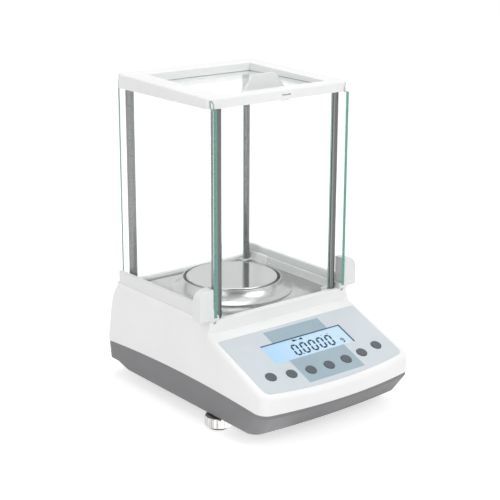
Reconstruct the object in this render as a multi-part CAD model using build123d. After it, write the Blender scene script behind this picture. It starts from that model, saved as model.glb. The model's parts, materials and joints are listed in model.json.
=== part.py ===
from build123d import *
import math
import os

# Laboratory balance with a glass draft shield. Millimetres, +Z up, front towards -Y.
# The origin is on the bench, under the middle of the overall box.

# Body, seen from above
panel_depth = 105.1           # from the front of the bow to the step behind the control panel
front_bow = 10.0              # how far the front bulges between its corners
chamber_half = 95.0           # half width of the block that carries the draft shield
chamber_depth = 174.7         # from the step to the back of that block
corner_radius = 3.0           # of the chamber block, seen from above
corner_growth = 1.3           # extra corner radius for each mm of swell at the sides
side_swell = 8.2              # how far the foot of the shoulder stands out at each side
back_swell = 15.6             # the same at the back
front_draft = 0.2             # lean of the front, for each mm of swell
shoulder_low = 30.0           # height at which the swell is complete
shoulder_curve = (            # share of the height above that, share of the swell
    (0.94, 0.0),
    (0.82, 0.41),
    (0.57, 0.73),
    (0.33, 0.91),
    (0.0, 1.0),
)

# Body, seen from the side
deck_height = 112.0           # top of the chamber block
step_drop = 13.5              # height of the step between the deck and the control panel
panel_low = 56.46             # height of the control panel at the front of the bow
panel_rounding = 6.0          # edge of the panel
deck_rounding = 1.2           # edge of the deck
parting_height = 40.5         # joint of housing and tray, at the front and the back
parting_rise = 6.0            # how much higher that joint is half way along the side
parting_gap = 0.1
tray_bottom = 14.5
tray_inset = 0.6              # shadow step of the tray under the housing
tray_draft = 1.2              # how much narrower each side of the tray is at the bottom
tray_bow = 6.0                # front bulge at the tray's bottom
chin_setback = 20.0           # how far the raked front of the tray runs back
chin_top = 37.0               # height at which the rake starts
heel_length = 26.0            # raised stretch at the back of the tray
heel_ramp = 23.0
heel_rise = 6.0
tray_rounding = 2.0

# Walls
wall = 2.6
deck_thickness = 7.5
tray_floor = 2.8
rib_height = 4.0              # ribs across the tray, above its floor
rib_thickness = 2.0
rib_spacing = 80.0
vent_count = 8
vent_pitch = 12.0
vent_width = 4.0
vent_length = 30.0
vent_front = 46.0             # behind the front of the bow

# Floor of the weighing chamber
floor_thickness = 1.0
floor_sunk = 3.0              # plate top below the deck
floor_inset = 12.0            # plate edge inside the chamber block's side
floor_tail = 5.9              # plate behind the rear posts' axes
notch_front_x = 12.0          # corner notches that leave room for the front posts
notch_front_y = 10.0
notch_back_x = 10.7           # smaller notches at the rear posts
notch_back_y = 5.7
floor_corner = 1.5
floor_gap = 0.3
spindle_hole = 11.0

# Guide lugs of the side doors, on the deck
lug_inset = 14.5              # inner face inside the chamber block's side
lug_width = 3.3
lug_length = 17.0
lug_front = 125.9             # behind the step
lug_height = 8.5              # above the deck
lug_rounding = 1.0

# Posts
post_radius = 4.2
post_length = 220.0
post_inset = 16.0             # post axis inside the chamber block's side
post_inset_front = 8.5        # post axis behind the step
post_inset_back = 13.7
rear_seat_rise = 1.0          # seat of the rear posts above the floor plate
rear_seat_margin = 1.2
spigot_radius = 2.5
spigot_length = 6.0
spigot_fit = 0.05
spigot_end = 0.3
post_tap_radius = 1.65
post_tap_depth = 16.0
post_screw_end = 4.0          # tap left free above the screw

# Top frame
frame_inset = 2.0             # frame side inside the chamber block's side
frame_front_gap = 2.0         # frame front behind the step
frame_back_gap = 5.7
frame_front_height = 10.6
frame_back_height = 15.8
frame_corner = 8.0
frame_rounding = 2.2
opening_inset = 25.3          # side of the top opening inside the chamber block's side
opening_front = 13.0          # width of the front bar
opening_back = 27.5           # width of the back bar
slot_front_wall = 1.6         # front wall that closes the side doors' slots
slit_width = 1.2              # slit in that wall
slit_height = 8.6
slit_lean = 2.2

# Glass
pane_thickness = 4.0
pane_gap = 0.3
pane_clear = 0.1
pane_edge = 0.4
pane_bite = 2.3               # how far the fixed panes enter the top frame
pane_end_gap = 0.2
side_glass_inset = 6.6        # middle of the side glass inside the chamber block's side
side_glass_lead = 1.5         # side glass in front of the step
side_glass_short = 4.7        # side glass shorter than the chamber block
side_glass_bite = 8.2
side_glass_top_gap = 0.4
top_glass_thickness = 3.0
top_glass_lift = 3.6          # underside of the top glass above the frame's underside
top_glass_bite = 3.3
top_glass_gap = 0.3
top_glass_edge = 0.3

# Side door rails and their finger plates
rail_gap = 0.3
rail_height = 13.7
rail_lip_height = 5.7
rail_lip = 2.1
rail_floor = 3.2
rail_rounding = 1.0
tongue_width = 2.4
tongue_depth = 2.7
tongue_lead = 3.0             # tongue starts behind the rail's front
track_gap = 0.4
track_depth = 3.1
grip_width = 13.0             # finger plate beyond the rail
grip_depth = 14.0
grip_height = 33.0
grip_radius = 13.0
grip_lift = 1.2
grip_rounding = 1.2

# Top door tab
tab_base_half = 27.5
tab_top_half = 14.0
tab_height = 17.0
tab_thickness = 3.4
tab_y = 29.0                  # behind the frame's front face
tab_rounding = 3.0
tab_foot_depth = 9.0
tab_foot_height = 1.4
tab_foot_corner = 2.0

# Front pane clip: a slot in the frame's front and a tongue under it
clip_x = 6.2
clip_slot = 12.0
clip_slot_height = 1.5
clip_slot_depth = 3.0
clip_slot_lift = 4.2
clip_width = 9.0
clip_thickness = 1.2
clip_back = 0.8               # tongue's front behind the frame's front

# Wind ring and pan
ring_clear = 8.25             # foot of the ring to the fixed panes
ring_flare = 12.0             # how far the skirt sweeps out
ring_height = 14.0
ring_thickness = 1.2
ring_bend = 0.4               # share of the flare and of the height at the skirt's bend
pan_clear = 3.2
pan_height = 15.0             # pan top above the floor plate
pan_thickness = 1.0
pan_edge = 4.0
pan_rounding = 2.0
hub_radius = 7.0
spindle_radius = 3.0
spindle_fit = 0.06
spindle_into_hub = 5.0
hub_clear = 2.5               # hub above the floor plate

# Control panel
overlay_side = 1.0            # overlay edge inside the chamber block's side
overlay_top = 13.0            # down the slope from the step
overlay_end = 6.7             # overlay's lower edge before the panel's front edge
overlay_bow = 8.5
overlay_corner = 8.0
overlay_thickness = 0.7
overlay_recess = 0.5
overlay_gap = 0.2
window_half = 55.0
window_top_share = 0.305      # places down the slope, as shares of its length
window_bottom_share = 0.565
key_row_share = 0.751
bezel_wall = 1.4
bezel_gap = 0.2
display_sunk = 2.0
display_thickness = 2.0
board_thickness = 1.6
board_depth = 9.0             # top of the boards under the panel surface
board_margin = 6.0            # display board beyond the window
pillar_offset = 6.5           # pillars beside the window
pillar_step = 3.5
pillar_radius = 2.5
key_count = 7
key_pitch = 24.3
key_radius = 6.0
key_gap = 0.3
key_arc = 7.0                 # how far the end keys are above the middle one
key_proud = 0.8
key_rounding = 0.5
key_flange = 1.4
key_flange_thickness = 1.1
key_stem_radius = 2.0
key_play = 0.35
keypad_drop = 10.0            # pillars below the key row
keypad_side = 5.5             # outer pillars beyond the end keys
keypad_margin = 1.0
keypad_gap = 1.5              # between the two boards
switch_side = 6.0
switch_height = 3.5
plunger_radius = 1.7
plunger_height = 0.5
board_screw_radius = 2.2
board_screw_height = 1.5

# Feet
foot_inset = 2.0              # foot axis inside the chamber block's side
foot_lead = 12.1              # foot axis in front of the step
wheel_radius = 15.0
wheel_height = 10.5
wheel_edge = 1.2
wheel_lobes = 13
scallop_radius = 2.8
scallop_depth = 1.3
wheel_gap = 1.0               # under the tray
stud_radius = 4.0
stud_length = 22.0
stud_fit = 0.08
foot_boss_radius = 8.0
pad_radius = 10.5
pad_edge = 0.6
pad_gap = 0.3
pad_pin_radius = 2.0
pad_pin_length = 4.0
pad_pin_fit = 0.05
rear_foot_x = 60.0
rear_foot_inset = 55.8        # in front of the chamber block's back
rear_foot_radius = 10.0
rear_foot_edge = 1.2
rear_foot_pin = 6.8
rear_foot_bite = 1.0
rear_foot_fit = 0.2

# Screws
screw_inset = 9.0             # inside the chamber block's side
screw_front = 44.0            # behind the front of the bow
screw_back = 17.8             # in front of the chamber block's back
screw_radius = 1.5
screw_fit = 0.1
screw_head_radius = 3.4
screw_head_height = 2.4
screw_head_gap = 0.3
screw_recess = 1.0            # head below the tray's underside
screw_bite = 9.0
screw_end = 2.0
screw_boss_radius = 4.0
screw_boss_gap = 0.3
socket_radius = 1.2           # driver recess
socket_depth = 1.2

# Hook cover under the pan
hook_hole = 12.0
hook_cover_radius = 15.0
hook_cover_thickness = 1.6
hook_cover_fit = 0.2
hook_collar = 3.0
coin_slot_half = 8.0
coin_slot_width = 1.6
coin_slot_depth = 0.8

# Weighing cell, behind and under the pan
cell_base_top = 34.0
cell_base_thickness = 8.0
cell_base_corner = 6.0
cell_half = 32.0
cell_front = 26.0             # in front of the pan axis
cell_rear_gap = 8.0           # cell's end before the chamber block's back
cell_screw_inset = 7.0
cell_screw_radius = 3.6
cell_screw_height = 3.0
cell_pillar_radius = 5.0
column_front_share = 0.317    # shares of the cell's length behind the pan axis
column_depth_share = 0.146
coil_share = 0.707
pot_share = 0.22
coil_radius_share = 0.152
column_half = 26.0
column_drop = 12.5            # top of the column under the deck's underside
guide_thickness = 1.5
guide_gap = 0.3
guide_front_half = 11.0
guide_narrow = 2.0
guide_margin = 3.0
guide_pad = 4.0
guide_hole = 1.5
hanger_half = 9.0
hanger_depth = 10.0
hanger_wall = 4.0
hanger_low_share = 0.2
hanger_high_share = 0.25
tongue_reach = 3.4
drive_tongue = 3.0
lever_half = 4.0
lever_drop = 22.0             # lever under the column's top
lever_height = 5.0
lever_window = 8.0
lever_window_side = 5.0
pivot_offset = 12.0           # lever's pivot behind the hanger's tongue root
coupling_gap = 0.3
pivot_radius = 1.5
pivot_fit = 0.05
cheek_gap = 1.0
cheek_thickness = 4.0
cheek_width = 6.0
cheek_half = 4.0
cheek_height = 5.0
coil_wall = 2.5
coil_plate = 1.5
coil_gap = 1.0
coil_lift = 2.0               # groove deeper than the coil
pot_drop = 4.0                # pot under the lever
pot_groove_share = 0.44
tail_half = 1.5
tail_inset = 1.0
tail_gap = 4.0
sensor_inset = 2.5
sensor_gap = 1.5
sensor_block = 3.0
sensor_depth = 5.0
sensor_height = 9.0
sensor_board_half = 10.0

# Main board
main_half = 60.0
main_front = 32.0             # behind the front of the bow
main_back = 3.1               # in front of the step
main_height = 30.0
main_pillar_radius = 3.5
main_inset = 6.0
chip_sizes = (                # share across, share of the depth, width, depth, height
    (-0.5, 0.46, 14.0, 14.0, 1.4),
    (0.03, 0.4, 10.0, 18.0, 1.2),
    (0.56, 0.66, 24.0, 18.0, 6.0),
)
capacitor_count = 3
capacitor_pitch = 14.0
capacitor_radius = 4.0
capacitor_height = 9.0
capacitor_inset = 12.0
main_screw_radius = 2.8
main_screw_height = 1.8

# Sockets at the back
port_share = 0.44             # share of the shoulder's height
port_recess_half = 31.0
port_recess_x = -34.0
port_recess_height = 22.0
port_recess_depth = 4.8
port_plate = 4.0
port_fit = 0.2
data_flange_half = 15.4
data_flange_height = 12.5
data_flange_thickness = 0.8
data_flange_corner = 1.5
data_shell_half = 8.6
data_shell_height = 8.0
data_tube_inset = 0.5
data_tube_length = 2.3
data_tube_corner = 1.4
data_pin_pitch = 2.77
data_pin_radius = 0.6
data_pin_row = 1.4
data_pin_depth = 3.0
data_x = -46.0
power_x = -16.0
power_radius = 5.5
power_collar = 1.6
power_collar_length = 1.5
power_bore = 3.2
power_bore_depth = 7.0
power_pin = 1.0
socket_length = 9.0

# Places that follow from the sizes above
body_depth = panel_depth + chamber_depth + back_swell
front_y = -body_depth / 2
back_y = body_depth / 2
chamber_back = back_y - back_swell
step_y = chamber_back - chamber_depth
post_x = chamber_half - post_inset
post_front = step_y + post_inset_front
post_back = chamber_back - post_inset_back
pan_y = (post_front + post_back) / 2
floor_half = chamber_half - floor_inset
floor_top = deck_height - floor_sunk
pocket_z = floor_top - floor_thickness
deck_under = deck_height - deck_thickness
rear_seat = floor_top + rear_seat_rise
frame_z = deck_height + post_length
frame_half = chamber_half - frame_inset
frame_front = step_y + frame_front_gap
frame_back = chamber_back - frame_back_gap
opening_half = chamber_half - opening_inset
glass_z = frame_z + top_glass_lift
side_glass_x = chamber_half - side_glass_inset
side_glass_front = step_y - side_glass_lead
side_glass_back = side_glass_front + chamber_depth - side_glass_short
ring_base_radius = (post_back - post_front - pane_thickness) / 2 - ring_clear
ring_rim_radius = ring_base_radius - ring_flare
pan_radius = ring_rim_radius - ring_thickness - pan_clear
pan_top = floor_top + pan_height
spindle_top = floor_top + hub_clear + spindle_into_hub
foot_x = chamber_half - foot_inset
foot_y = step_y - foot_lead
wheel_top = tray_bottom - wheel_gap
wheel_low = wheel_top - wheel_height
rear_foot_y = chamber_back - rear_foot_inset
screw_x = chamber_half - screw_inset
screw_top = parting_height + parting_rise + screw_bite
port_height = shoulder_low + port_share * (deck_height - shoulder_low)
port_face = back_y - port_recess_depth
wide = 2 * (chamber_half + side_swell) + 40.0
tall = frame_z + 40.0

# The control panel's own frame
panel_fall = deck_height - step_drop - panel_low
slope = math.atan2(panel_fall, panel_depth)
panel_run = math.hypot(panel_fall, panel_depth)
overlay_half = chamber_half - overlay_side
overlay_bottom = panel_run - overlay_end
window_top = window_top_share * panel_run
window_bottom = window_bottom_share * panel_run
key_row = key_row_share * panel_run
keypad_half = (key_count - 1) / 2 * key_pitch + keypad_side
panel = Plane(
    origin=(0, step_y, deck_height - step_drop),
    x_dir=(1, 0, 0),
    z_dir=(0, -math.sin(slope), math.cos(slope)),
)

# The weighing cell's places
cell_back = chamber_back - cell_rear_gap - pan_y
column_front = column_front_share * cell_back
column_depth = column_depth_share * cell_back
column_top = deck_under - column_drop
lever_bottom = column_top - lever_drop
hanger_front = pan_y - hanger_depth / 2
hanger_back = pan_y + hanger_depth / 2
pivot_y = hanger_back + pivot_offset
pivot_z = lever_bottom + lever_height / 2
coil_y = pan_y + coil_share * cell_back
coil_radius = coil_radius_share * cell_back
pot_radius = pot_share * cell_back
pot_top = lever_bottom - pot_drop
pot_groove = pot_groove_share * (pot_top - cell_base_top)
coil_height = pot_drop + pot_groove - coil_lift - coil_gap
guide_low = cell_base_top + guide_pad


def block(x0, x1, y0, y1, z0, z1):
    """A box between two corners."""
    return Pos((x0 + x1) / 2, (y0 + y1) / 2, (z0 + z1) / 2) * Box(x1 - x0, y1 - y0, z1 - z0)


def side_block(side, x0, x1, y0, y1, z0, z1):
    """A box on the right (side 1) or on the left (side -1)."""
    low, high = sorted((side * x0, side * x1))
    return block(low, high, y0, y1, z0, z1)


def rod(x, y, z0, z1, radius):
    """An upright cylinder between two heights."""
    return Pos(x, y, z0) * Cylinder(radius, z1 - z0, align=(Align.CENTER, Align.CENTER, Align.MIN))


def cross_rod(y, z, radius, length):
    """A cylinder that runs from left to right, about the middle."""
    return Pos(0, y, z) * Rot(0, 90, 0) * Cylinder(radius, length)


def back_rod(x, y0, y1, z, radius):
    """A cylinder that runs from front to back."""
    return Pos(x, (y0 + y1) / 2, z) * Rot(90, 0, 0) * Cylinder(radius, y1 - y0)


def panel_block(u0, u1, v0, v1, w0, w1):
    """A box in the panel's own frame: across, up the slope, out of the panel."""
    return panel * block(u0, u1, v0, v1, w0, w1)


def panel_rod(u, v, w0, w1, radius):
    return panel * rod(u, v, w0, w1, radius)


def side_profile(points, half):
    """A solid with the given outline in Y and Z, running across the body."""
    face = make_face(Plane.YZ * Polyline(*points, close=True))
    return Pos(-half, 0, 0) * extrude(face, 2 * half, dir=(1, 0, 0))


def front_profile(points, y0, y1):
    """A solid with the given outline in X and Z, running from front to back."""
    face = make_face(Plane.XZ * Polyline(*points, close=True))
    return Pos(0, y0, 0) * extrude(face, y1 - y0, dir=(0, 1, 0))


def turned(edges, y):
    """A body of revolution about an upright axis, from its outline in X and Z."""
    face = make_face([Plane.XZ * e for e in edges])
    return Pos(0, y, 0) * revolve(face, Axis.Z)


def outline(half, front, back, bow, corner, z):
    """The body's outline seen from above, bowed at the front."""
    edges = [
        ThreePointArc((-half, front + bow), (0, front), (half, front + bow)),
        Line((half, front + bow), (half, back)),
        Line((half, back), (-half, back)),
        Line((-half, back), (-half, front + bow)),
    ]
    face = make_face(edges)
    return Pos(0, 0, z) * fillet(face.vertices(), corner)


# Housing and tray

def body_form(inset):
    """The housing without its panel slope: swelling shoulders under an upright block."""
    sections = []
    for share, swell in sorted(shoulder_curve):
        out = side_swell * swell
        corner = corner_radius + corner_growth * out
        half = chamber_half + out - inset
        front = front_y + (side_swell - out) * front_draft + inset
        back = chamber_back + back_swell * swell - inset
        height = shoulder_low + share * (deck_height - shoulder_low)
        sections.append(outline(half, front, back, front_bow, corner, height))
    upper = extrude(sections[-1], deck_height - height)
    return loft(sections) + upper


def above_panel(drop, setback):
    """All that lies in front of the step and above the sloped panel."""
    edge = step_y + setback
    foot = deck_height - step_drop - drop / math.cos(slope)
    far = front_y - chin_setback
    points = [
        (edge, tall),
        (edge, foot + setback * math.tan(slope)),
        (far, foot + (far - step_y) * math.tan(slope)),
        (far, tall),
    ]
    return side_profile(points, wide)


def below_parting(gap):
    """All that lies under the arched joint of housing and tray."""
    radius = (back_y**2 + parting_rise**2) / (2 * parting_rise)
    centre = parting_height + parting_rise - radius
    return cross_rod(0, centre, radius - gap, 2 * wide)


def overlay_face(grow):
    """Outline of the panel overlay, bowed along its lower edge."""
    half = overlay_half + grow
    top = -overlay_top + grow
    low = -overlay_bottom - grow
    edges = [
        ThreePointArc((-half, low + overlay_bow), (0, low), (half, low + overlay_bow)),
        Line((half, low + overlay_bow), (half, top)),
        Line((half, top), (-half, top)),
        Line((-half, top), (-half, low + overlay_bow)),
    ]
    face = make_face(edges)
    face = fillet(face.vertices().sort_by(Axis.Y)[:2], overlay_corner)
    return fillet(face.vertices().sort_by(Axis.Y)[-2:], corner_radius)


def key_places():
    """Across and up the slope, for each key on its arc."""
    middle = (key_count - 1) / 2
    for i in range(key_count):
        offset = i - middle
        yield offset * key_pitch, -key_row + key_arc * (offset / middle) ** 2


def board_pillars():
    """Pillars under the panel for the display board and the keypad board."""
    u = window_half + pillar_offset
    for v in (-window_top + pillar_step, -window_bottom - pillar_step):
        yield u, v
        yield -u, v
    low = -key_row - keypad_drop
    for u in (key_pitch * 1.5, keypad_half):
        yield u, low
        yield -u, low


def screw_places():
    for y in (front_y + screw_front, chamber_back - screw_back):
        for x in (-screw_x, screw_x):
            yield x, y


def post_places():
    """Across, along and seat height of each post."""
    for y, seat in ((post_front, deck_height), (post_back, rear_seat)):
        for x in (-post_x, post_x):
            yield x, y, seat


def lug_box(side, grow, z0, z1):
    """A guide lug of a side door, with a margin round it."""
    x0 = chamber_half - lug_inset - grow
    y0 = step_y + lug_front - grow
    return side_block(side, x0, x0 + lug_width + grow, y0, y0 + lug_length + 2 * grow, z0, z1)


def floor_outline(grow, z0, z1):
    """The floor plate's form between two heights, notched round the posts."""
    front = post_front - pane_thickness / 2 - grow
    back = post_back + floor_tail + grow
    half = floor_half + grow
    plate = block(-half, half, front, back, z0, z1)
    for side in (-1, 1):
        plate -= side_block(
            side, floor_half - notch_front_x + grow, wide,
            front - 1, post_front + notch_front_y - grow, z0, z1,
        )
        plate -= side_block(
            side, floor_half - notch_back_x + grow, wide,
            post_back - notch_back_y + grow, back + 1, z0, z1,
        )
    return fillet(plate.edges().filter_by(Axis.Z), floor_corner)


def housing_inside():
    """Bosses, pillars and the socket plate that stand inside the housing."""
    inside = Part()
    for x, y in screw_places():
        inside += rod(x, y, parting_height + parting_rise + screw_boss_gap, deck_height, screw_boss_radius)
    inside += block(
        port_recess_x - port_recess_half - wall, port_recess_x + port_recess_half + wall,
        port_face - port_plate - wall, back_y,
        port_height - port_recess_height / 2 - wall, port_height + port_recess_height / 2 + wall,
    )
    for u, v in board_pillars():
        inside += panel_rod(u, v, -board_depth, -wall / 2, pillar_radius)
    return inside


def panel_cuts():
    """Overlay recess, display window and key holes."""
    recess = Pos(0, 0, -overlay_recess) * extrude(overlay_face(overlay_gap), wall, dir=(0, 0, 1))
    cuts = panel * recess
    frame = bezel_wall + bezel_gap
    cuts += panel_block(
        -window_half - frame, window_half + frame,
        -window_bottom - frame, -window_top + frame, -2 * wall, wall,
    )
    for u, v in key_places():
        cuts += panel_rod(u, v, -2 * wall, wall, key_radius + key_gap)
    return cuts


def deck_cuts():
    """Chamber floor, post seats, door tracks, spindle hole, screw holes and pane slots."""
    above = deck_height + 1
    cuts = floor_outline(floor_gap, pocket_z, above)
    for side in (-1, 1):
        track = tongue_width / 2 + track_gap
        cuts += side_block(
            side, side_glass_x - track, side_glass_x + track, step_y - 1, back_y,
            deck_height - track_depth, above,
        )
        cuts += side_block(
            side, floor_half - notch_back_x, post_x + post_radius + rear_seat_margin,
            post_back - notch_back_y, post_back + floor_tail + floor_gap, rear_seat, above,
        )
    cuts += rod(0, pan_y, deck_under - 1, deck_height, spindle_hole + 1)
    for x, y, seat in post_places():
        cuts += rod(x, y, deck_under - 1, above, screw_radius + screw_fit)
    half = post_x - post_radius
    slot = pane_thickness / 2 + pane_clear
    for y in (post_front, post_back):
        cuts += block(-half, half, y - slot, y + slot, floor_top, above)
    return cuts


def upper_housing():
    outer = body_form(0.0) - above_panel(0.0, 0.0)
    slopes = [f for f in outer.faces() if (f.normal_at() - panel.z_dir).length < 1e-3]
    edges = [e for e in slopes[0].edges() if abs(e.center().Y - step_y) > wall]
    outer = fillet(edges, panel_rounding)
    deck = outer.faces().sort_by(Axis.Z)[-1]
    outer = fillet(deck.edges(), deck_rounding)
    inner = body_form(wall) - above_panel(wall, wall)
    inner -= block(-wide, wide, -wide, wide, deck_under, tall)
    shell = outer - inner
    shell += housing_inside() & outer
    shell -= below_parting(0.0)
    shell -= deck_cuts()
    shell -= panel_cuts()
    for side in (-1, 1):
        lug = lug_box(side, 0.0, pocket_z, deck_height + lug_height)
        shell += fillet(lug.edges().group_by(Axis.Z)[-1], lug_rounding)
    for x, y in screw_places():
        shell -= rod(x, y, parting_height, screw_top + screw_end, screw_radius + screw_fit)
    # recess for the sockets at the back
    shell -= block(
        port_recess_x - port_recess_half, port_recess_x + port_recess_half,
        port_face, back_y + wall,
        port_height - port_recess_height / 2, port_height + port_recess_height / 2,
    )
    shell -= data_port_body(port_fit)
    shell -= power_body(port_fit)
    return shell


def tray_form(inset):
    half = chamber_half + side_swell - tray_inset - inset
    front = front_y + tray_inset + inset
    back = back_y - tray_inset - inset
    corner = corner_radius + corner_growth * side_swell
    high = parting_height + 2 * parting_rise
    foot = outline(
        half - tray_draft, front + chin_setback, back - tray_draft, tray_bow, corner, tray_bottom
    )
    chin = outline(half, front, back, front_bow, corner, chin_top)
    rim = outline(half, front, back, front_bow, corner, high)
    return loft([foot, chin], ruled=True) + loft([chin, rim], ruled=True)


def heel(drop):
    """What the raised stretch at the back takes off the tray's underside."""
    edge = back_y - heel_length
    far = back_y + heel_length
    points = [
        (edge - heel_ramp, tray_bottom + drop),
        (edge, tray_bottom + heel_rise + drop),
        (far, tray_bottom + heel_rise + drop),
        (far, -tray_bottom),
        (edge - heel_ramp, -tray_bottom),
    ]
    return side_profile(points, wide)


def tray_inside():
    """Bosses, pillars, ribs and the hook's collar that stand on the tray's floor."""
    floor = tray_bottom + tray_floor / 2
    inside = Part()
    for x, y in screw_places():
        inside += rod(x, y, floor, parting_height + parting_rise, screw_boss_radius)
    for side in (-1, 1):
        inside += rod(side * foot_x, foot_y, floor, wheel_top + stud_length, foot_boss_radius)
    for x, y in cell_pillars():
        inside += rod(x, y, floor, cell_base_top - cell_base_thickness, cell_pillar_radius)
    for x, y in main_pillars():
        inside += rod(x, y, floor, main_height, main_pillar_radius)
    top = tray_bottom + tray_floor
    for y in (pan_y - rib_spacing * 0.75, pan_y + rib_spacing / 4):
        inside += block(-chamber_half, chamber_half, y, y + rib_thickness, floor, top + rib_height)
    collar = hook_cover_radius + hook_collar
    inside -= rod(0, pan_y, 0, tall, collar)
    inside += rod(0, pan_y, floor, top, collar)
    return inside


def lower_tray():
    outer = tray_form(0.0) - heel(0.0)
    bottom = outer.faces().sort_by(Axis.Z)[0]
    heel_start = back_y - heel_length - heel_ramp
    rounded = bottom.edges().filter_by(lambda e: e.center().Y < heel_start - 1)
    outer = fillet(rounded, tray_rounding)
    inner = tray_form(wall) - heel(tray_floor)
    inner -= block(-wide, wide, -wide, wide, 0, tray_bottom + tray_floor)
    shell = outer - inner
    shell += tray_inside() & outer
    shell &= below_parting(parting_gap)
    for side in (-1, 1):
        shell -= rod(side * foot_x, foot_y, 0, tall, stud_radius + stud_fit)
    for x, y in screw_places():
        shell -= rod(x, y, 0, tall, screw_radius + screw_fit)
        shell -= rod(x, y, 0, screw_seat(y), screw_head_radius + screw_head_gap)
    shell -= rod(0, pan_y, 0, tray_bottom + hook_cover_thickness, hook_cover_radius + hook_cover_fit)
    shell -= rod(0, pan_y, 0, tall, hook_hole)
    for i in range(vent_count):
        x = (i - (vent_count - 1) / 2) * vent_pitch
        y = front_y + vent_front
        shell -= block(
            x - vent_width / 2, x + vent_width / 2, y, y + vent_length, 0, tray_bottom + tray_floor + 1
        )
    for x in (-rear_foot_x, rear_foot_x):
        shell -= rod(x, rear_foot_y, 0, tray_bottom + rear_foot_bite, rear_foot_pin + rear_foot_fit)
    return shell


def screw_seat(y):
    """Height of the shoulder that a housing screw's head bears on."""
    heel_start = back_y - heel_length - heel_ramp
    share = min(max((y - heel_start) / heel_ramp, 0.0), 1.0)
    return tray_bottom + heel_rise * share + screw_head_height + screw_recess


def housing_screws():
    screws = Part()
    for x, y in screw_places():
        seat = screw_seat(y)
        head = seat - screw_head_height
        screw = rod(x, y, head, seat, screw_head_radius)
        screw += rod(x, y, seat, screw_top, screw_radius)
        screw -= rod(x, y, head, head + socket_depth, socket_radius)
        screws += screw
    return screws


def hook_cover():
    cover = rod(0, pan_y, tray_bottom, tray_bottom + hook_cover_thickness, hook_cover_radius)
    half = coin_slot_width / 2
    slot = block(
        -coin_slot_half, coin_slot_half, pan_y - half, pan_y + half,
        tray_bottom, tray_bottom + coin_slot_depth,
    )
    return cover - slot


# Weighing chamber

def floor_plate():
    plate = floor_outline(0.0, pocket_z, floor_top)
    for side in (-1, 1):
        plate -= lug_box(side, floor_gap, pocket_z, floor_top)
    return plate - rod(0, pan_y, 0, tall, spindle_hole)


def post(x, y, seat):
    bar = rod(x, y, seat, frame_z, post_radius)
    bar += rod(x, y, frame_z, frame_z + spigot_length, spigot_radius)
    bar -= rod(x, y, seat, seat + post_tap_depth, post_tap_radius)
    return bar


def post_screws():
    screws = Part()
    for x, y, seat in post_places():
        screw = rod(x, y, deck_under, seat + post_tap_depth - post_screw_end, screw_radius)
        screw += rod(x, y, deck_under - screw_head_height, deck_under, screw_head_radius)
        screws += screw
    return screws


def frame_slits(side):
    """The slit in front of a side door's slot: upright, then leaning outwards at its top."""
    x = side_glass_x - pane_thickness / 2
    bend = frame_z + slit_height / 2
    top = frame_z + slit_height
    points = [
        (side * x, frame_z - 1),
        (side * (x + slit_width), frame_z - 1),
        (side * (x + slit_width), bend),
        (side * (x + slit_width + slit_lean), top),
        (side * (x + slit_lean), top),
        (side * x, bend),
    ]
    return front_profile(points, frame_front - 1, frame_front + slot_front_wall + 1)


def top_frame():
    profile = [
        (frame_front, frame_z),
        (frame_front, frame_z + frame_front_height),
        (frame_back, frame_z + frame_back_height),
        (frame_back, frame_z),
    ]
    ring = side_profile(profile, frame_half)
    ring = fillet(ring.edges().filter_by(Axis.Z), frame_corner)
    top = ring.faces().sort_by(Axis.Z)[-1]
    ring = fillet(top.edges(), frame_rounding)
    below = frame_z - 1
    y0 = frame_front + opening_front
    y1 = frame_back - opening_back
    ring -= block(-opening_half, opening_half, y0, y1, below, tall)
    # groove of the top door, open at the back
    half = opening_half + top_glass_bite + top_glass_gap
    ring -= block(
        -half, half, y0 - top_glass_bite - top_glass_gap, frame_back + 1,
        glass_z - top_glass_gap, glass_z + top_glass_thickness + top_glass_gap,
    )
    # slots of the side doors, open at the back
    slot = pane_thickness / 2 + pane_gap
    for side in (-1, 1):
        ring -= side_block(
            side, side_glass_x - slot, side_glass_x + slot, frame_front + slot_front_wall,
            frame_back + 1, below, frame_z + side_glass_bite + side_glass_top_gap,
        )
        ring -= frame_slits(side)
    # slots of the fixed panes and sockets of the posts
    slot = pane_thickness / 2 + pane_clear
    half = post_x - post_radius
    for y in (post_front, post_back):
        ring -= block(-half, half, y - slot, y + slot, below, frame_z + pane_bite + pane_end_gap)
    for x, y, seat in post_places():
        ring -= rod(x, y, below, frame_z + spigot_length + spigot_end, spigot_radius + spigot_fit)
    # slot over the clip of the front pane
    ring -= block(
        clip_x - clip_slot / 2, clip_x + clip_slot / 2, frame_front - 1, frame_front + clip_slot_depth,
        frame_z + clip_slot_lift, frame_z + clip_slot_lift + clip_slot_height,
    )
    return ring


def fixed_pane(y):
    half = post_x - post_radius - pane_end_gap
    depth = pane_thickness / 2
    pane = block(-half, half, y - depth, y + depth, floor_top, frame_z + pane_bite)
    return chamfer(pane.edges().filter_by(Axis.Z), pane_edge)


def pane_clip():
    """Thin tongue under the frame that keeps the front pane from tipping forwards."""
    half = clip_width / 2
    tongue = block(
        clip_x - half, clip_x + half, frame_front + clip_back,
        post_front - pane_thickness / 2 - pane_gap, frame_z - clip_thickness, frame_z,
    )
    return chamfer(tongue.edges().group_by(Axis.Z)[0], pane_edge)


def side_glass(side):
    """Pane of a side door, cut out at its front top corner behind the frame's front wall."""
    half = pane_thickness / 2
    bottom = deck_height + rail_gap + rail_floor
    top = frame_z + side_glass_bite
    pane = side_block(
        side, side_glass_x - half, side_glass_x + half, side_glass_front, side_glass_back, bottom, top
    )
    pane = chamfer(pane.edges(), pane_edge)
    return pane - side_block(
        side, side_glass_x - pane_thickness, side_glass_x + pane_thickness, side_glass_front - 1,
        frame_front + slot_front_wall + pane_gap, frame_z - pane_gap, top + 1,
    )


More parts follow.
